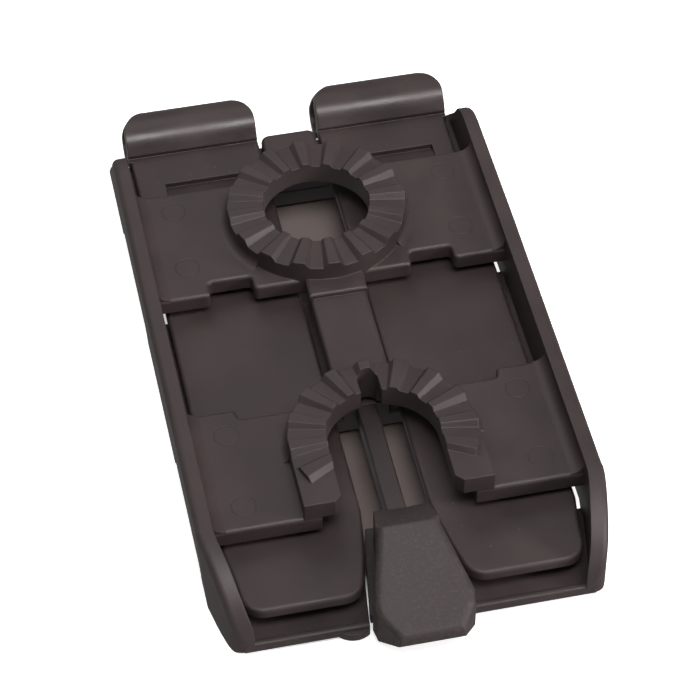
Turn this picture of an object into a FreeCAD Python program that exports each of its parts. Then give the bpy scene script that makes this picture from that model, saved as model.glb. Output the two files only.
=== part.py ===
import FreeCAD, Part
import math
import os

# Webbing mounting plate with two toothed rosettes, two sliding hook blades and a
# sprung thumb latch.  Millimetres.  The plate lies on its back: Z = 0 is the back
# plane that faces the webbing, +Z is the rosette side, +Y is the end with the rolled
# hook heads, X runs across.  The origin is the middle of the overall box, on Z = 0.

V = FreeCAD.Vector

# ----------------------------------------------------------------- dimensions
# levels
CREST_Z = 16.5          # crests of the face teeth
PLATE_Z1 = 12.0         # front face of both bridge plates
PLATE_Z0 = 8.7          # rear face of both bridge plates
BOSS_Z0 = 11.8          # rear face of the rosette wall inside its pocket
SPINE_Z1 = 11.5         # front face of the rib between the rosettes
RAIL_Z1 = 15.0          # top of the side rails
BAR_Z0, BAR_Z1 = 1.2, 4.5       # rear cross bars
FLOOR_Z0, FLOOR_Z1 = 0.8, 2.0   # floor at the latch end
LIP_Z1 = 2.6            # front lip of that floor

# plan
RAIL_IN = 33.0          # inner faces of the side rails
RAIL_OUT_TOP = 35.75    # outer faces at the hook end
RAIL_OUT_MID = 36.1     # outer faces at the middle
RAIL_DRAFT = 0.045      # outward draft of the outer faces, mm per mm
NOSE_Y, NOSE_Z = -44.0, 2.6     # where the nose of each rail starts, and its end height
RING_Y = 29.0           # upper rosette centre
ARCH_Y = -29.8          # lower rosette centre
ROSE_RO = 16.9          # outer radius of both rosettes
ROSE_RI = 10.1          # bore radius of both rosettes
TEETH = 16
TOOTH_SLOPE = 0.0715    # tooth depth per mm of radius
VALLEY_HALF_BOT = 4.4   # degrees
VALLEY_HALF_TOP = 7.6
VALLEY_0 = 11.25        # angle of the first tooth gap
COVE_R = 1.7            # hollow round at the foot of both rosettes
POCKET_R = 13.7         # pocket behind each rosette

UB_Y0, UB_Y1 = 13.2, 41.3       # upper bridge
UB_NOTCH_X0, UB_NOTCH_X1, UB_NOTCH_D = 15.0, 23.2, 3.3
LB_Y0 = -43.3                   # lower bridge
LB_Y1_IN, LB_Y1_OUT, LB_STEP_X = -17.9, -15.6, 24.0
SPINE_HALF = 5.3
PAD_DROP = 1.05         # plain pads on the arch legs, below the tooth crests
LEG_END_Y = -43.2

BAR_A_Y0, BAR_A_Y1 = 44.6, 58.6
BAR_C_Y0, BAR_C_Y1 = -15.6, 15.0
FLOOR_Y0, FLOOR_Y1 = -61.0, -43.0
TAB_HALF, TAB_Z1 = 5.4, 7.2

# hook blades
PITCH = 38.1            # webbing stitch pitch
BLADE_W = 25.0
BLADE_EXTRA = 0.5        # extra width on the inner edge, below the head
BLADE_Z0, BLADE_Z1 = 5.0, 7.0
BLADE_Y0 = -57.5
HEAD_R = 5.8            # rolled head
HEAD_CY, HEAD_CZ = 63.3, 5.8
HEAD_LIP_Y = 57.7
HEAD_WALL = 2.4
HEAD_W = 25.7
HEAD_CORNER = 4.4       # corner radius of the head
HEAD_TILT = 47.0        # degrees between the roll's corner plane and the vertical
SLOT_Y0, SLOT_Y1 = 45.6, 49.4

# latch arm
STEM_HALF = 1.8
STEM_Z0, STEM_Z1 = 3.7, 7.5
ROOT_Y = -15.6
ROOT_GAP = 0.15
BTN_Z0 = 2.5
BTN_Y_TOP, BTN_Y_RIDGE, BTN_Y_END = -43.8, -49.6, -69.1
BTN_Z_TOP, BTN_Z_RIDGE, BTN_Z_END = 11.9, 14.3, 8.2


# -------------------------------------------------------------------- helpers
def box(x0, x1, y0, y1, z0, z1):
    return Part.makeBox(x1 - x0, y1 - y0, z1 - z0, V(x0, y0, z0))


def cyl(x, y, r, z0, z1):
    return Part.makeCylinder(r, z1 - z0, V(x, y, z0), V(0, 0, 1))


def prism(pts, z0, z1):
    """Solid from a plan outline."""
    w = Part.makePolygon([V(x, y, z0) for x, y in pts] + [V(pts[0][0], pts[0][1], z0)])
    return Part.Face(w).extrude(V(0, 0, z1 - z0))


def prism_x(pts, x0, x1):
    """Solid from a side outline given as (y, z)."""
    w = Part.makePolygon([V(x0, y, z) for y, z in pts] + [V(x0, pts[0][0], pts[0][1])])
    return Part.Face(w).extrude(V(x1 - x0, 0, 0))


def wire_x(edges, x0, x1):
    w = Part.Wire(Part.__sortEdges__(edges))
    return Part.Face(w).extrude(V(x1 - x0, 0, 0))


def fillet(shape, radii, pick):
    """Round the edges that pick() accepts, with the largest radius that works."""
    edges = [e for e in shape.Edges if pick(e)]
    if not edges:
        print("fillet: no edge found")
        return shape
    for r in radii:
        try:
            s = shape.makeFillet(r, edges)
            if s.isValid() and s.Volume > 0:
                return s
        except Exception:
            pass
    out = shape
    for r in radii:
        done = 0
        for e in edges:
            try:
                s = out.makeFillet(r, [e])
                if s.isValid():
                    out, done = s, done + 1
            except Exception:
                pass
        if done:
            print("fillet: one by one,", done, "of", len(edges), "at", r)
            return out
    print("fillet: failed on", len(edges), "edges")
    return shape


def mid(e):
    return e.valueAt((e.FirstParameter + e.LastParameter) / 2.0)


def vertical(e):
    b = e.BoundBox
    return b.XLength < 1e-4 and b.YLength < 1e-4 and b.ZLength > 1e-3


def mirror_x(s):
    return s.mirror(V(0, 0, 0), V(1, 0, 0))


def clean(s):
    try:
        t = s.removeSplitter()
        if t.isValid():
            return t
    except Exception:
        pass
    return s


# ---------------------------------------------------------------------- rails
def outline_half():
    """Plan outline of the right-hand side, latch end rounded."""
    return [(RAIL_OUT_TOP, 66.0), (RAIL_OUT_MID, 10.0), (RAIL_OUT_MID, -44.0),
            (35.7, -47.6), (34.9, -52.2), (33.7, -57.4), (33.0, -59.4), (31.9, -60.5),
            (30.3, FLOOR_Y0)]


def spline(pts, t0, t1):
    c = Part.BSplineCurve()
    c.interpolate([V(*q) for q in pts], InitialTangent=V(*t0), FinalTangent=V(*t1))
    return c.toShape()


def line(a, b):
    return Part.makeLine(V(*a), V(*b))


def rail():
    """Right-hand rail: straight, sloped at the hook end, tapering nose at the latch end."""
    o, i = RAIL_OUT_MID, RAIL_IN
    e = [line((RAIL_OUT_TOP, 66, 0), (o, 10, 0)), line((o, 10, 0), (o, NOSE_Y, 0)),
         spline([(o, NOSE_Y, 0), (35.65, -48.0, 0), (34.85, -52.2, 0), (33.75, -57.0, 0),
                 (32.7, -59.6, 0), (30.3, FLOOR_Y0, 0)], (0, -5, 0), (-4, -0.3, 0)),
         line((30.3, FLOOR_Y0, 0), (29.2, FLOOR_Y0, 0)),
         spline([(29.2, FLOOR_Y0, 0), (29.75, -59.4, 0), (31.25, -54.0, 0),
                 (32.4, -48.5, 0), (i, NOSE_Y, 0)], (0.2, 2, 0), (0, 4, 0)),
         line((i, NOSE_Y, 0), (i, 66, 0)), line((i, 66, 0), (RAIL_OUT_TOP, 66, 0))]
    plan = Part.Face(Part.Wire(e)).extrude(V(0, 0, RAIL_Z1))
    # side outline
    x0, za = 25.0, NOSE_Z
    a, b = NOSE_Y - FLOOR_Y0, RAIL_Z1 - za
    nose = []
    for k in range(0, 13):
        t = math.radians(90.0 * k / 12.0)
        nose.append((x0, NOSE_Y - a * math.sin(t), RAIL_Z1 - b + b * math.cos(t)))
    e = [spline(nose, (0, -9, 0), (0, 0, -6)),
         line((x0, NOSE_Y, RAIL_Z1), (x0, 46.0, RAIL_Z1)),
         spline([(x0, 46.0, RAIL_Z1), (x0, 52.0, 13.0), (x0, 54.7, 9.5)],
                (0, 5, 0), (0, 3.2, -3.25)),
         line((x0, 54.7, 9.5), (x0, 63.2, 0.9)), line((x0, 63.2, 0.9), (x0, 62.4, 0)),
         line((x0, 62.4, 0), (x0, FLOOR_Y0 + 1.3, 0)),
         line((x0, FLOOR_Y0 + 1.3, 0), (x0, FLOOR_Y0, 0.9)),
         line((x0, FLOOR_Y0, 0.9), (x0, FLOOR_Y0, za))]
    side = Part.Face(Part.Wire(Part.__sortEdges__(e))).extrude(V(15, 0, 0))
    r = plan.common(side)
    # outward draft on the outer face
    dz = RAIL_DRAFT * RAIL_Z1
    cut = Part.makePolygon([V(o, -70, RAIL_Z1), V(o - dz, -70, 0), V(45, -70, 0),
                            V(45, -70, RAIL_Z1), V(o, -70, RAIL_Z1)])
    r = r.cut(Part.Face(cut).extrude(V(0, 140, 0)))
    r = clean(r)
    r = fillet(r, (1.25, 1.1, 1.0, 0.8), lambda e: e.BoundBox.YLength > 0.5 and
               mid(e).z > NOSE_Z and mid(e).x > 33.3)
    return r


# --------------------------------------------------------------- bridge plates
def upper_plate():
    x = RAIL_IN + 0.6
    pts = [(-x, UB_Y0)]
    pts += [(-UB_NOTCH_X1, UB_Y0), (-UB_NOTCH_X1, UB_Y0 + UB_NOTCH_D),
            (-UB_NOTCH_X0, UB_Y0 + UB_NOTCH_D), (-UB_NOTCH_X0, UB_Y0)]
    pts += [(UB_NOTCH_X0, UB_Y0), (UB_NOTCH_X0, UB_Y0 + UB_NOTCH_D),
            (UB_NOTCH_X1, UB_Y0 + UB_NOTCH_D), (UB_NOTCH_X1, UB_Y0), (x, UB_Y0)]
    pts += [(x, UB_Y1), (-x, UB_Y1)]
    s = prism(pts, PLATE_Z0, PLATE_Z1)
    s = fillet(s, (0.9, 0.6), lambda e: vertical(e) and abs(mid(e).x) < 30)
    s = fillet(s, (0.7, 0.5, 0.3), lambda e: mid(e).z > PLATE_Z1 - 1e-3 and
               abs(mid(e).x) < x - 0.01)
    s = fillet(s, (0.3,), lambda e: mid(e).z < PLATE_Z0 + 1e-3 and
               abs(mid(e).x) < x - 0.01 and abs(mid(e).y - UB_Y1) > 0.01)
    return s


def lower_plate():
    x = RAIL_IN + 0.6
    pts = [(-x, LB_Y0), (x, LB_Y0), (x, LB_Y1_OUT), (LB_STEP_X, LB_Y1_OUT),
           (LB_STEP_X - 0.4, LB_Y1_IN), (-LB_STEP_X + 0.4, LB_Y1_IN),
           (-LB_STEP_X, LB_Y1_OUT), (-x, LB_Y1_OUT)]
    s = prism(pts, PLATE_Z0, PLATE_Z1)
    s = fillet(s, (0.8, 0.5), lambda e: vertical(e) and abs(mid(e).x) < 30)
    s = fillet(s, (0.8, 0.5, 0.3), lambda e: mid(e).z > PLATE_Z1 - 1e-3 and
               abs(mid(e).x) < x - 0.01)
    return s


def corner_web(y0, y1):
    """Concave fillet between a bridge plate and the right rail, plus the cheek below."""
    r = 2.4
    b = box(RAIL_IN - r, RAIL_IN + 0.3, y0, y1, PLATE_Z1 - 0.3, PLATE_Z1 + r)
    c = Part.makeCylinder(r, y1 - y0 + 2, V(RAIL_IN - r, y0 - 1, PLATE_Z1 + r), V(0, 1, 0))
    return b.cut(c)


# -------------------------------------------------------------------- rosettes
def valley(cx, cy, ang):
    """Cutter for one tooth gap; every face runs through the rosette's centre."""
    a = math.tan(math.radians(VALLEY_HALF_TOP))
    b = math.tan(math.radians(VALLEY_HALF_BOT))
    k = (a - b) / TOOTH_SLOPE
    wires = []
    for r in (4.0, 20.0):
        h = TOOTH_SLOPE * r
        ext = 0.6
        half = [(b * r, -h), (a * r + k * ext, ext)]
        pts = [V(r, half[0][0], CREST_Z + half[0][1]), V(r, half[1][0], CREST_Z + half[1][1]),
               V(r, -half[1][0], CREST_Z + half[1][1]), V(r, -half[0][0], CREST_Z + half[0][1])]
        wires.append(Part.makePolygon(pts + [pts[0]]))
    s = Part.makeLoft(wires, True, True)
    s.rotate(V(0, 0, 0), V(0, 0, 1), ang)
    s.translate(V(cx, cy, 0))
    return s


def cove(cy, deg0, deg1):
    """Hollow round between a rosette wall and its plate, as a revolved strip."""
    r, z = ROSE_RO - 0.3, PLATE_Z1 - 0.3
    a, b = V(ROSE_RO + COVE_R, 0, PLATE_Z1), V(ROSE_RO, 0, PLATE_Z1 + COVE_R)
    m = V(ROSE_RO + COVE_R * (1 - math.sqrt(0.5)), 0, PLATE_Z1 + COVE_R * (1 - math.sqrt(0.5)))
    w = Part.Wire([Part.makeLine(V(r, 0, z), V(ROSE_RO + COVE_R, 0, z)),
                   Part.makeLine(V(ROSE_RO + COVE_R, 0, z), a), Part.Arc(a, m, b).toShape(),
                   Part.makeLine(b, V(r, 0, PLATE_Z1 + COVE_R)),
                   Part.makeLine(V(r, 0, PLATE_Z1 + COVE_R), V(r, 0, z))])
    f = Part.Face(w)
    f.rotate(V(0, 0, 0), V(0, 0, 1), deg0)
    s = f.revolve(V(0, 0, 0), V(0, 0, 1), deg1 - deg0)
    s.translate(V(0, cy, 0))
    return s


def ring_boss():
    s = cyl(0, RING_Y, ROSE_RO, PLATE_Z0, CREST_Z)
    s = s.cut(cyl(0, RING_Y, POCKET_R, PLATE_Z0 - 1, BOSS_Z0))
    return s


def teeth_cut(s, cy, angs):
    cutters = [valley(0, cy, a) for a in angs]
    c = cutters[0].multiFuse(cutters[1:]) if len(cutters) > 1 else cutters[0]
    return s.cut(c)


def arch_boss():
    s = cyl(0, ARCH_Y, ROSE_RO, PLATE_Z0, CREST_Z)
    s = s.fuse(box(-ROSE_RO, ROSE_RO, LEG_END_Y, ARCH_Y, PLATE_Z0, CREST_Z))
    return clean(s)


def frame():
    r = rail()
    parts = [r, mirror_x(r)]
    up, lo = upper_plate(), lower_plate()
    for y0, y1 in ((UB_Y0 + 0.2, UB_Y1 - 0.2), (LB_Y0 + 0.2, LB_Y1_OUT - 0.2)):
        w = corner_web(y0, y1)
        parts += [w, mirror_x(w)]

    # rib between the rosettes, with the raised root block under the upper ring
    rib = box(-SPINE_HALF, SPINE_HALF, ARCH_Y + ROSE_RO - 2.5, RING_Y - ROSE_RO + 3.0,
              PLATE_Z0, SPINE_Z1)
    rib = fillet(rib, (0.8, 0.5), lambda e: mid(e).z > SPINE_Z1 - 1e-3 and
                 abs(abs(mid(e).x) - SPINE_HALF) < 0.01)
    block = box(-SPINE_HALF - 0.2, SPINE_HALF + 0.2, RING_Y - ROSE_RO - 3.6,
                RING_Y - ROSE_RO + 3.0, PLATE_Z0, PLATE_Z1 + 0.5)
    block = fillet(block, (0.6, 0.4), lambda e: mid(e).z > PLATE_Z1 + 0.49 and
                   mid(e).y < RING_Y - ROSE_RO + 2.9)

    ring = ring_boss()
    arch = arch_boss()
    solid = up.fuse([lo, rib, block, ring, arch])
    for d0, d1 in ((-38.0, 36.0), (144.0, 218.0)):
        solid = solid.fuse(cove(RING_Y, d0, d1))
    for d0, d1 in ((-1.0, 36.0), (144.0, 181.0)):
        solid = solid.fuse(cove(ARCH_Y, d0, d1))

    # pocket and bore behind the upper ring
    solid = solid.cut(cyl(0, RING_Y, POCKET_R, PLATE_Z0 - 1, BOSS_Z0))
    solid = solid.cut(cyl(0, RING_Y, ROSE_RI, PLATE_Z0 - 1, CREST_Z + 1))
    # pocket behind the arch, open at the leg end
    pocket = cyl(0, ARCH_Y, POCKET_R, PLATE_Z0 - 1, BOSS_Z0).fuse(
        box(-POCKET_R, POCKET_R, LEG_END_Y - 5, ARCH_Y, PLATE_Z0 - 1, BOSS_Z0))
    slot = cyl(0, ARCH_Y, ROSE_RI, PLATE_Z0 - 1, CREST_Z + 1).fuse(
        box(-ROSE_RI, ROSE_RI, LEG_END_Y - 5, ARCH_Y, PLATE_Z0 - 1, CREST_Z + 1))
    solid = solid.cut([pocket, slot])
    # inner corners at the leg ends
    for sx in (1, -1):
        tri = [(sx * (ROSE_RI - 0.1), LEG_END_Y + 1.5), (sx * (ROSE_RI - 0.1), LEG_END_Y - 0.2),
               (sx * (ROSE_RI + 1.5), LEG_END_Y - 0.2)]
        solid = solid.cut(prism(tri, PLATE_Z0 - 1, CREST_Z + 1))
    # teeth
    step = 360.0 / TEETH
    solid = teeth_cut(solid, RING_Y, [VALLEY_0 + k * step for k in range(TEETH)])
    solid = teeth_cut(solid, ARCH_Y, [VALLEY_0 + k * step for k in range(-1, 9)])
    # plain pads on the legs, level with the tooth gaps; the last tooth ends in a flank
    t0, t1 = math.radians(26.6), math.radians(30.6)
    for sx in (1, -1):
        def at(rad, t, z):
            return V(sx * rad * math.cos(t), ARCH_Y - rad * math.sin(t), z)
        wires = []
        for rad in (5.0, 24.0):
            zb = CREST_Z - PAD_DROP
            far = V(sx * rad * math.cos(t1), LEG_END_Y - 12.0, 0)
            q = [at(rad, t1, zb), at(rad, t0 - 0.04, CREST_Z + 1.0),
                 V(far.x, far.y, CREST_Z + 1.0), V(far.x, far.y, zb)]
            wires.append(Part.makePolygon(q + [q[0]]))
        pad = Part.makeLoft(wires, True, True)
        solid = solid.cut(pad)
        # strip outside the tooth circle
        strip = box(min(sx * 12.0, sx * (ROSE_RO + 1)), max(sx * 12.0, sx * (ROSE_RO + 1)),
                    LEG_END_Y - 1, ARCH_Y, CREST_Z - PAD_DROP, CREST_Z + 1).cut(
            cyl(0, ARCH_Y, ROSE_RO + 0.05, 0, 30))
        solid = solid.cut(strip)
    # key slot through the top of the arch wall
    ks = box(-1.9, 1.9, ARCH_Y + ROSE_RI - 1.0, ARCH_Y + ROSE_RO - 3.9, BOSS_Z0 - 4, CREST_Z + 1)
    ks = ks.fuse(cyl(0, ARCH_Y + ROSE_RO - 3.9, 1.9, BOSS_Z0 - 4, CREST_Z + 1))
    solid = solid.cut(ks)
    solid = clean(solid)

    # rear cross bars
    xin = RAIL_IN + 0.6
    bar_a = box(-xin, xin, BAR_A_Y0, BAR_A_Y1, BAR_Z0, BAR_Z1)
    bar_a = fillet(bar_a, (0.9, 0.6), lambda e: abs(mid(e).x) < 1 and mid(e).y > BAR_A_Y1 - 1e-3)
    tab = box(-TAB_HALF, TAB_HALF, BAR_A_Y0 + 0.1, BAR_A_Y1 + 0.3, BAR_Z0 + 0.4, TAB_Z1)
    tab = fillet(tab, (1.6, 1.0), lambda e: vertical(e) and mid(e).y > BAR_A_Y1)
    tab = fillet(tab, (0.9, 0.6), lambda e: mid(e).z > TAB_Z1 - 1e-3 and
                 mid(e).y > BAR_A_Y0 + 0.2)
    bar_c = box(-xin, xin, BAR_C_Y0, BAR_C_Y1, BAR_Z0, BAR_Z1)
    bar_c = fillet(bar_c, (0.6, 0.4), lambda e: abs(mid(e).x) < 1 and mid(e).z > BAR_Z1 - 1e-3)
    root = box(-4.2, 4.2, ROOT_Y, ROOT_Y + 9.0, BAR_Z1 - 0.5, STEM_Z1)
    root = fillet(root, (0.8, 0.5), lambda e: mid(e).z > STEM_Z1 - 1e-3 and
                  mid(e).y > ROOT_Y + 0.01)

    # floor at the latch end, lip along its front edge
    o = outline_half()
    o = [p for p in o if p[1] < -42] + [(28.0, FLOOR_Y0)]
    ring_pts = [(RAIL_IN + 0.6, FLOOR_Y1), (RAIL_IN + 0.6, -44.0)] + \
               [(x - 0.8, y) for x, y in o[1:-2]] + [(30.3, FLOOR_Y0), (28.0, FLOOR_Y0)]
    half = ring_pts
    pts = half + [(-x, y) for x, y in reversed(half)]
    floor = prism(pts, FLOOR_Z0, FLOOR_Z1)
    lip = box(-31.0, 31.0, FLOOR_Y0, FLOOR_Y0 + 1.3, FLOOR_Z0, LIP_Z1)
    lip = fillet(lip, (0.45, 0.3), lambda e: abs(mid(e).x) < 1 and mid(e).z > LIP_Z1 - 1e-3)
    floor = floor.fuse(lip)
    cutout = prism([(-6.7, FLOOR_Y1 + 1), (6.7, FLOOR_Y1 + 1), (9.3, FLOOR_Y0 - 1),
                    (-9.3, FLOOR_Y0 - 1)], -1, 8)
    floor = floor.cut(cutout)
    lug = Part.makeCylinder(3.9, 1.5, V(-11.6, FLOOR_Y0 + 3.0, 0.2), V(0, 0, 1))
    floor = floor.fuse(lug).cut(cutout)

    parts += [solid, bar_a, tab, bar_c, root, floor]
    body = parts[0].multiFuse(parts[1:])

    # webbing entries in the back edges of both rails
    for y0, y1 in ((BAR_C_Y1, BAR_A_Y0), (FLOOR_Y1, BAR_C_Y0)):
        pts = [(y0, -1), (y0, 1.6), (y0 + 1.4, 3.0), (y1 - 1.4, 3.0), (y1, 1.6), (y1, -1)]
        body = body.cut(prism_x(pts, -40, 40))

    # ejector-pin witness rings, shallow
    for x, y in ((26.3, 36.2), (26.3, 21.0), (26.6, -21.5), (26.6, -38.1)):
        for sx in (1, -1):
            rr = cyl(sx * x, y, 2.35, PLATE_Z1 - 0.05, PLATE_Z1 + 1).cut(
                cyl(sx * x, y, 2.15, PLATE_Z1 - 0.2, PLATE_Z1 + 2))
            body = body.cut(rr)
    return clean(body)


# ----------------------------------------------------------------- hook blades
def head_profile(x0):
    """Rolled head, seen from the side: closed outline of the wall."""
    cy, cz, r = HEAD_CY, HEAD_CZ, HEAD_R
    ri = r - HEAD_WALL
    z_lip = BLADE_Z1 + 0.8
    crest = V(x0, cy, cz + r)

    def on(rad, deg):
        t = math.radians(deg)
        return V(x0, cy + rad * math.cos(t), cz + rad * math.sin(t))
    e = []
    p_blade_top = V(x0, HEAD_LIP_Y, BLADE_Z1)
    p_lip = V(x0, HEAD_LIP_Y - 0.15, z_lip)
    e.append(Part.makeLine(V(x0, HEAD_LIP_Y - 1.0, BLADE_Z1), p_blade_top))
    e.append(Part.makeLine(p_blade_top, p_lip))
    # long soft rise from the lip to the crest
    c = Part.BSplineCurve()
    c.interpolate([p_lip, V(x0, 59.3, 10.45), crest],
                  InitialTangent=V(0, 0.55, 0.85), FinalTangent=V(0, 1, 0))
    e.append(c.toShape())
    e.append(Part.Arc(crest, on(r, 0), on(r, -90)).toShape())
    e.append(Part.Arc(on(r, -90), on((r + ri) / 2.0, -101) , on(ri, -90)).toShape())
    e.append(Part.Arc(on(ri, -90), on(ri, 0), on(ri, 90)).toShape())
    q = V(x0, HEAD_LIP_Y + 2.9, BLADE_Z0)
    c2 = Part.BSplineCurve()
    c2.interpolate([on(ri, 90), V(x0, 61.4, 8.2), q], InitialTangent=V(0, -1, 0))
    e.append(c2.toShape())
    e.append(Part.makeLine(q, V(x0, HEAD_LIP_Y - 1.0, BLADE_Z0)))
    e.append(Part.makeLine(V(x0, HEAD_LIP_Y - 1.0, BLADE_Z0), V(x0, HEAD_LIP_Y - 1.0, BLADE_Z1)))
    return e


def blade(side):
    """side = +1 for the right blade, -1 for the left one."""
    c = side * PITCH / 2.0
    hw = BLADE_W / 2.0
    # local outline with u pointing outward (away from the middle)
    u_in, u_out = -hw - BLADE_EXTRA, hw
    pts = [(u_out, HEAD_LIP_Y), (u_out, -44.0), (u_out - 0.9, -50.0), (u_out - 1.6, BLADE_Y0),
           (u_in + 4.0, BLADE_Y0), (u_in + 2.7, -54.5), (u_in + 1.6, -49.5),
           (u_in + 0.5, -43.2), (u_in, -39.0), (u_in, HEAD_LIP_Y)]
    flat = prism([(c + side * u, y) for u, y in pts], BLADE_Z0, BLADE_Z1)
    flat = fillet(flat, (5.0, 4.0, 3.0), lambda e: vertical(e) and
                  abs(mid(e).y - BLADE_Y0) < 0.01)
    flat = fillet(flat, (8.0, 4.0), lambda e: vertical(e) and mid(e).y < -38 and
                  mid(e).y > BLADE_Y0 + 0.5 and abs(mid(e).x - c) < hw + BLADE_EXTRA - 0.01)
    flat = clean(flat)
    flat = fillet(flat, (0.7, 0.5, 0.3), lambda e: mid(e).z > BLADE_Z1 - 1e-3 and
                  mid(e).y < HEAD_LIP_Y - 0.01)
    # finger recess, deep at its upper edge and running out towards the bridge
    x0 = c + 0.3 - 7.5 + (0.45 if side > 0 else 0.3)
    rec = prism_x([(SLOT_Y0, BLADE_Z1), (SLOT_Y1, BLADE_Z1 - 1.15), (SLOT_Y1, BLADE_Z1 + 1),
                   (SLOT_Y0, BLADE_Z1 + 1)], x0, x0 + 15.0)
    flat = flat.cut(rec)
    # rolled head
    xa, xb = c - HEAD_W / 2.0, c + HEAD_W / 2.0
    head = wire_x(head_profile(xa), xa, xb)
    # the two far corners are rounded across the slope of the roll
    t = math.radians(HEAD_TILT)
    top = HEAD_CY * math.sin(t) + HEAD_CZ * math.cos(t) + HEAD_R
    plate = Part.makeBox(HEAD_W, 60.0, 160.0, V(xa, top - 60.0, -80.0))
    plate = plate.makeFillet(HEAD_CORNER, [e for e in plate.Edges if vertical(e) and
                                           mid(e).y > top - 1e-3])
    plate.rotate(V(0, 0, 0), V(1, 0, 0), 90.0 - HEAD_TILT)
    head = head.common(plate)
    head = clean(head)
    head = fillet(head, (0.9, 0.7, 0.5, 0.3), lambda e: outer_rim(e, c))
    s = flat.fuse(head)
    return clean(s)


def outer_rim(e, c):
    """Edges around the outside of the rolled head, on its two flanks."""
    b = e.BoundBox
    if b.XLength > HEAD_W - 0.5:
        return False
    p = mid(e)
    if abs(abs(p.x - c) - HEAD_W / 2.0) > 0.01 and p.y < HEAD_CY - 0.2:
        return False
    # outside surface only
    d = math.hypot(p.y - HEAD_CY, p.z - HEAD_CZ)
    if p.y >= HEAD_CY - 0.2 and d < HEAD_R - 0.35 and abs(p.x - c) > HEAD_W / 2.0 - 0.01:
        return False
    if p.z < BLADE_Z1 + 1.2 and p.y < HEAD_CY - 0.5:
        return False
    if b.ZLength < 1e-4 and b.YLength < 1e-4:
        return False
    return True


# ------------------------------------------------------------------- latch arm
def latch_arm():
    y_root = ROOT_Y - ROOT_GAP
    stem = box(-STEM_HALF, STEM_HALF, BTN_Y_TOP - 3.0, y_root, STEM_Z0, STEM_Z1)
    stem = fillet(stem, (0.35, 0.2), lambda e: abs(mid(e).z - STEM_Z1) < 1e-3 and
                  abs(abs(mid(e).x) - STEM_HALF) < 1e-3)
    # button, plan outline
    plan = [(-4.9, BTN_Y_TOP), (4.9, BTN_Y_TOP), (5.7, BTN_Y_RIDGE), (8.9, -62.0),
            (8.5, -64.6), (5.6, BTN_Y_END), (-5.6, BTN_Y_END), (-8.5, -64.6),
            (-8.9, -62.0), (-5.7, BTN_Y_RIDGE)]
    b = prism(plan, BTN_Z0, 18.0)
    # side view: top facet rises to the ridge, long face falls to the end
    side = [(BTN_Y_TOP + 1, BTN_Z0), (BTN_Y_TOP + 1, BTN_Z_TOP - 0.5),
            (BTN_Y_TOP, BTN_Z_TOP), (BTN_Y_RIDGE, BTN_Z_RIDGE), (BTN_Y_END, BTN_Z_END),
            (BTN_Y_END, BTN_Z_END - 2.5), (BTN_Y_END + 4.6, BTN_Z0)]
    b = b.common(prism_x(side, -12, 12))
    b = clean(b)
    # hollow-ground top edge
    b = b.cut(cyl(0, BTN_Y_TOP + 26.0 - 0.55, 26.0, BTN_Z0 + 5.3, 18.0))
    b = clean(b)

    def face_rim(e):
        p = mid(e)
        if p.y > BTN_Y_RIDGE - 0.2:
            return False
        zf = BTN_Z_RIDGE + (BTN_Z_END - BTN_Z_RIDGE) * (p.y - BTN_Y_RIDGE) / (BTN_Y_END - BTN_Y_RIDGE)
        return abs(p.z - zf) < 0.02
    b = fillet(b, (1.5, 1.2, 0.9, 0.6), face_rim)
    b = fillet(b, (0.8, 0.5, 0.3), lambda e: abs(mid(e).x) < 0.5 and
               abs(mid(e).z - BTN_Z_RIDGE) < 0.3 and e.BoundBox.XLength > 4)
    b = fillet(b, (1.2, 0.8, 0.4), lambda e: mid(e).y < BTN_Y_END + 0.05 and
               e.BoundBox.XLength > 6 and mid(e).z < BTN_Z_END - 1.5)
    # base flange between the blades
    fl = prism([(-5.9, -41.6), (5.9, -41.6), (6.6, -45.0), (8.95, -59.5), (8.95, -60.5),
                (-8.95, -60.5), (-8.95, -59.5), (-6.6, -45.0)], BTN_Z0, 4.6)
    fl = fillet(fl, (0.5, 0.3), lambda e: vertical(e) and mid(e).y > -42)
    s = stem.fuse([b, fl])
    return clean(s)


NODES = {
    "frame": frame,
    "blade_left": lambda: blade(-1),
    "blade_right": lambda: blade(1),
    "latch_arm": latch_arm,
}


def main():
    os.makedirs("parts", exist_ok=True)
    for name, make in NODES.items():
        s = make()
        solids = s.Solids
        bb = s.BoundBox
        print(name, "solids", len(solids), "valid", s.isValid(), "volume %.0f" % s.Volume,
              "x %.2f %.2f y %.2f %.2f z %.2f %.2f" % (bb.XMin, bb.XMax, bb.YMin, bb.YMax,
                                                     bb.ZMin, bb.ZMax))
        if len(solids) == 1:
            s = solids[0]
        s.exportStep(os.path.join("parts", name + ".step"))


main()
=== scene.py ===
import math

import bpy
from mathutils import Matrix, Vector

# Webbing mount plate: all of its shape comes from the CAD frame.  This script gives the
# moulded plastics their grain, gloss and wear, and sets the floor, light and camera.

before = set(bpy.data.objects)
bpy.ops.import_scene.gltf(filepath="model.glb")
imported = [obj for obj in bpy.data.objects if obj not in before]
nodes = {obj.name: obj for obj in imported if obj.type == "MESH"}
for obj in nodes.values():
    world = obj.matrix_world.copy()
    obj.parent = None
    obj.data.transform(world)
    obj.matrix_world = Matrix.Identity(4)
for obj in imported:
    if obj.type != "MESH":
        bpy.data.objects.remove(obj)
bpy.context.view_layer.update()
scene = bpy.context.scene
scene.view_settings.view_transform = "Standard"
scene.view_settings.look = "None"


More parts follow.
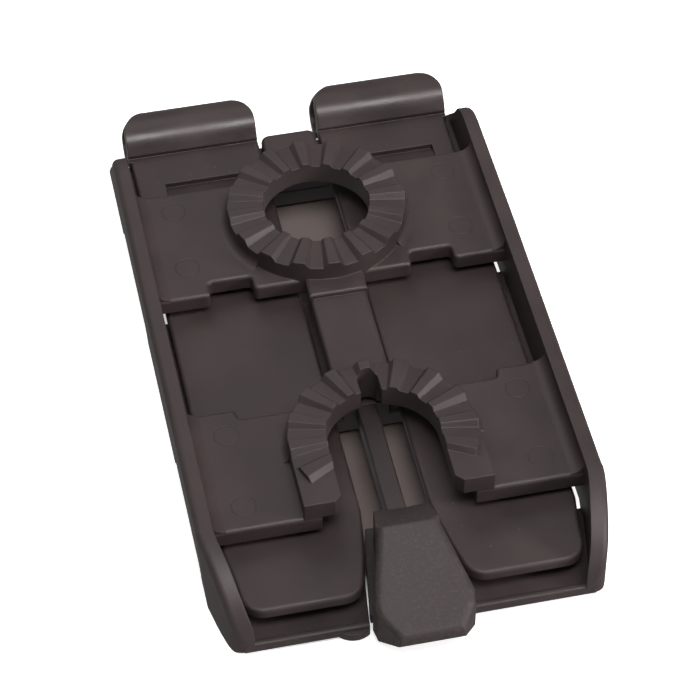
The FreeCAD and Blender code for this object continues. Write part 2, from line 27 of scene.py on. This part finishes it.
# ------------------------------------------------------------------ node helpers
class Tree:
    def __init__(self, name):
        self.mat = bpy.data.materials.new(name)
        self.mat.use_nodes = True
        self.t = self.mat.node_tree
        self.t.nodes.clear()
        self.out = self.add("ShaderNodeOutputMaterial")
        self.bsdf = self.add("ShaderNodeBsdfPrincipled")
        self.link(self.bsdf.outputs["BSDF"], self.out.inputs["Surface"])
        self.co = self.add("ShaderNodeTexCoord").outputs["Object"]

    def add(self, kind, **props):
        n = self.t.nodes.new(kind)
        for k, v in props.items():
            setattr(n, k, v)
        return n

    def link(self, a, b):
        self.t.links.new(a, b)

    def noise(self, scale, detail=2.0, rough=0.5, stretch=None):
        n = self.add("ShaderNodeTexNoise")
        n.inputs["Scale"].default_value = scale
        n.inputs["Detail"].default_value = detail
        n.inputs["Roughness"].default_value = rough
        src = self.co
        if stretch:
            m = self.add("ShaderNodeMapping")
            m.inputs["Scale"].default_value = stretch
            self.link(src, m.inputs["Vector"])
            src = m.outputs["Vector"]
        self.link(src, n.inputs["Vector"])
        return n.outputs["Fac"]

    def spots(self, scale, radius):
        """Small sparse round specks, 1 inside a speck."""
        v = self.add("ShaderNodeTexVoronoi")
        v.inputs["Scale"].default_value = scale
        self.link(self.co, v.inputs["Vector"])
        return self.range(v.outputs["Distance"], radius * 0.6, radius, 1.0, 0.0)

    def range(self, value, a, b, c, d):
        n = self.add("ShaderNodeMapRange")
        for k, v in (("From Min", a), ("From Max", b), ("To Min", c), ("To Max", d)):
            n.inputs[k].default_value = v
        self.link(value, n.inputs["Value"])
        return n.outputs["Result"]

    def math(self, op, a, b):
        n = self.add("ShaderNodeMath", operation=op)
        for i, v in enumerate((a, b)):
            if isinstance(v, (int, float)):
                n.inputs[i].default_value = v
            else:
                self.link(v, n.inputs[i])
        return n.outputs[0]

    def mix(self, fac, a, b):
        n = self.add("ShaderNodeMix", data_type="RGBA")
        self.link(fac, n.inputs[0])
        for i, v in ((6, a), (7, b)):
            if isinstance(v, tuple):
                n.inputs[i].default_value = (*v, 1.0)
            else:
                self.link(v, n.inputs[i])
        return n.outputs[2]

    def axis(self, which):
        s = self.add("ShaderNodeSeparateXYZ")
        self.link(self.co, s.inputs[0])
        return s.outputs[which]

    def bump(self, height, strength, distance, normal=None):
        n = self.add("ShaderNodeBump")
        n.inputs["Strength"].default_value = strength
        n.inputs["Distance"].default_value = distance
        self.link(height, n.inputs["Height"])
        if normal is not None:
            self.link(normal, n.inputs["Normal"])
        return n.outputs["Normal"]

    def soft_edges(self, radius):
        n = self.add("ShaderNodeBevel", samples=6)
        n.inputs["Radius"].default_value = radius
        return n.outputs["Normal"]


# --------------------------------------------------------------------- materials
DARK, MID, PALE = (0.0185, 0.0120, 0.0120), (0.0270, 0.0180, 0.0178), (0.0370, 0.0265, 0.0260)


def satin(name, grain_scale, grain_height, rough_lo, rough_hi, painted_shade=1.0):
    """Moulded black plastic: fine spark-eroded grain, cloudy gloss, faint scuffs."""
    t = Tree(name)
    # painted_shade scales all three tones down evenly; below 1 it is painted shade.
    dark, mid, pale = (tuple(c * painted_shade for c in k) for k in (DARK, MID, PALE))
    cloud = t.noise(95.0, 3.0, 0.55)
    fine = t.noise(grain_scale, 2.0, 0.6)
    tone = t.mix(t.range(cloud, 0.32, 0.70, 0.0, 1.0), dark, mid)
    tone = t.mix(t.range(fine, 0.56, 0.74, 0.0, 0.55), tone, pale)
    scuff = t.noise(420.0, 4.0, 0.65, (1.0, 0.12, 1.0))
    tone = t.mix(t.range(scuff, 0.66, 0.80, 0.0, 0.5), tone, pale)
    rough = t.math("ADD", t.range(cloud, 0.3, 0.7, rough_lo, rough_hi),
                   t.range(fine, 0.3, 0.7, -0.05, 0.05))
    t.link(tone, t.bsdf.inputs["Base Color"])
    t.bsdf.inputs["IOR"].default_value = 1.46
    n = t.bump(fine, 0.55, grain_height, t.soft_edges(0.00032))
    t.link(n, t.bsdf.inputs["Normal"])
    return t, tone, rough


# frame
t, tone, rough = satin("frame_satin", 3300.0, 0.000022, 0.50, 0.62)
t.link(rough, t.bsdf.inputs["Roughness"])
frame_mat = t.mat

# blades: matt flats, smoother rolled heads, a little dust
t, tone, rough = satin("blade_satin", 3000.0, 0.000018, 0.50, 0.60)
on_head = t.range(t.axis(1), 0.0570, 0.0585, 0.0, 1.0)
rough = t.math("SUBTRACT", rough, t.math("MULTIPLY", on_head, 0.12))
t.link(rough, t.bsdf.inputs["Roughness"])
speck = t.math("MULTIPLY", t.spots(420.0, 0.075), t.range(t.noise(60.0, 2.0), 0.50, 0.56, 0.0, 1.0))
t.link(t.mix(t.math("MULTIPLY", speck, 0.14), tone, (0.30, 0.28, 0.26)), t.bsdf.inputs["Base Color"])
blade_mat = t.mat

# latch: the thumb pad carries a coarse bright grain
# Painted shade: the latch's tones are darkened to 0.82 of the frame's, for the darker latch end
# where the light falls off.
t, tone, rough = satin("latch_grain", 3000.0, 0.000020, 0.50, 0.62, 0.82)
on_pad = t.range(t.axis(1), -0.0450, -0.0475, 0.0, 1.0)
coarse = t.noise(1750.0, 3.0, 0.7)
pits = t.math("MULTIPLY", t.range(coarse, 0.50, 0.68, 0.0, 1.0), on_pad)
tone = t.mix(t.math("MULTIPLY", pits, 0.60), tone, (0.046, 0.035, 0.034))
t.link(tone, t.bsdf.inputs["Base Color"])
t.link(t.math("ADD", rough, t.math("MULTIPLY", on_pad, 0.07)), t.bsdf.inputs["Roughness"])
t.link(t.bump(pits, 0.6, 0.00006, t.bsdf.inputs["Normal"].links[0].from_socket),
       t.bsdf.inputs["Normal"])
latch_mat = t.mat

for name, mat in (("frame", frame_mat), ("blade_left", blade_mat),
                  ("blade_right", blade_mat), ("latch_arm", latch_mat)):
    for slot in nodes[name].material_slots:
        slot.material = mat


# ------------------------------------------------------------------ floor, lights
me = bpy.data.meshes.new("floor")
me.from_pydata([(-4, -4, 0), (4, -4, 0), (4, 4, 0), (-4, 4, 0)], [], [(0, 1, 2, 3)])
floor = bpy.data.objects.new("floor", me)
scene.collection.objects.link(floor)
floor.location.z = -0.0002
fm = bpy.data.materials.new("floor_white_painted_shadow")
fm.use_nodes = True
fb = fm.node_tree.nodes["Principled BSDF"]
ft = fm.node_tree
tc = ft.nodes.new("ShaderNodeTexCoord")
sep = ft.nodes.new("ShaderNodeSeparateXYZ")
ft.links.new(tc.outputs["Object"], sep.inputs[0])


def under(axis, half, soft):
    """1 inside +-half of the floor's own axis, fading to 0 over soft."""
    a = ft.nodes.new("ShaderNodeMath")
    a.operation = "ABSOLUTE"
    ft.links.new(sep.outputs[axis], a.inputs[0])
    r = ft.nodes.new("ShaderNodeMapRange")
    for k, v in (("From Min", half), ("From Max", half + soft), ("To Min", 1.0), ("To Max", 0.0)):
        r.inputs[k].default_value = v
    ft.links.new(a.outputs[0], r.inputs["Value"])
    return r.outputs["Result"]


# Painted shadow: a soft-edged box of the floor under the middle of the plate is coloured dark
# brown-grey. It stands in for the shade seen through the plate's openings.
painted_shadow_mask = ft.nodes.new("ShaderNodeMath")
painted_shadow_mask.operation = "MULTIPLY"
ft.links.new(under(0, 0.020, 0.006), painted_shadow_mask.inputs[0])
ft.links.new(under(1, 0.048, 0.006), painted_shadow_mask.inputs[1])
painted_shadow_mix = ft.nodes.new("ShaderNodeMix")
painted_shadow_mix.data_type = "RGBA"
painted_shadow_mix.inputs[6].default_value = (0.93, 0.93, 0.93, 1.0)
painted_shadow_mix.inputs[7].default_value = (0.112, 0.092, 0.087, 1.0)
ft.links.new(painted_shadow_mask.outputs[0], painted_shadow_mix.inputs[0])
ft.links.new(painted_shadow_mix.outputs[2], fb.inputs["Base Color"])
fb.inputs["Roughness"].default_value = 0.9
fb.inputs["Specular IOR Level"].default_value = 0.1
# Painted light: outside the shadow box the floor glows white to wash out the plate's cast shadows.
# The glow fades to nothing under the plate.
painted_light_glow = ft.nodes.new("ShaderNodeMapRange")
painted_light_glow.inputs["To Min"].default_value = 0.55
painted_light_glow.inputs["To Max"].default_value = 0.0
ft.links.new(painted_shadow_mask.outputs[0], painted_light_glow.inputs["Value"])
ft.links.new(painted_light_glow.outputs["Result"], fb.inputs["Emission Strength"])
fb.inputs["Emission Color"].default_value = (1.0, 1.0, 1.0, 1.0)
floor.visible_glossy = False
me.materials.append(fm)


def area(name, direction, distance, w, h, watts, colour=(1.0, 1.0, 1.0), aim=(0, 0, 0), spread=180):
    d = bpy.data.lights.new(name, "AREA")
    d.shape = "RECTANGLE"
    d.size, d.size_y = w, h
    d.energy = watts
    d.color = colour
    o = bpy.data.objects.new(name, d)
    v = Vector(direction).normalized()
    o.location = v * distance
    d.spread = math.radians(spread)
    o.rotation_mode = "QUATERNION"
    o.rotation_quaternion = (o.location - Vector(aim)).to_track_quat("Z", "Y")
    scene.collection.objects.link(o)
    return o


area("key_top", (0.10, -0.33, 0.94), 0.80, 0.56, 0.36, 3.1, (1.0, 0.975, 0.965),
     aim=(0.0, 0.40, 0.0), spread=90)
area("back", (-0.30, 0.60, 0.90), 0.85, 0.70, 0.40, 1.6, (1.0, 0.975, 0.955))
area("glint_right", (0.80, -0.46, 0.34), 0.60, 0.13, 0.12, 3.0, (1.0, 0.96, 0.95))

world = bpy.data.worlds.new("studio")
world.use_nodes = True
bg = world.node_tree.nodes["Background"]
bg.inputs["Color"].default_value = (1.0, 0.99, 0.98, 1.0)
bg.inputs["Strength"].default_value = 0.30
scene.world = world

# ------------------------------------------------------------------------- camera
cd = bpy.data.cameras.new("camera")
cam = bpy.data.objects.new("camera", cd)
cd.sensor_fit = "HORIZONTAL"
cd.sensor_width = 36.0
cd.lens = 147.92452
cd.clip_start, cd.clip_end = 0.05, 20.0
rot = Matrix(((0.97810022, 0.1565525, -0.13715419),
              (-0.20805214, 0.7168744, -0.66543625),
              (-0.00585338, 0.67939856, 0.73374609)))
cam.matrix_world = Matrix.Translation((-0.072707, -0.354202, 0.39603)) @ rot.to_4x4()
scene.collection.objects.link(cam)
scene.camera = cam
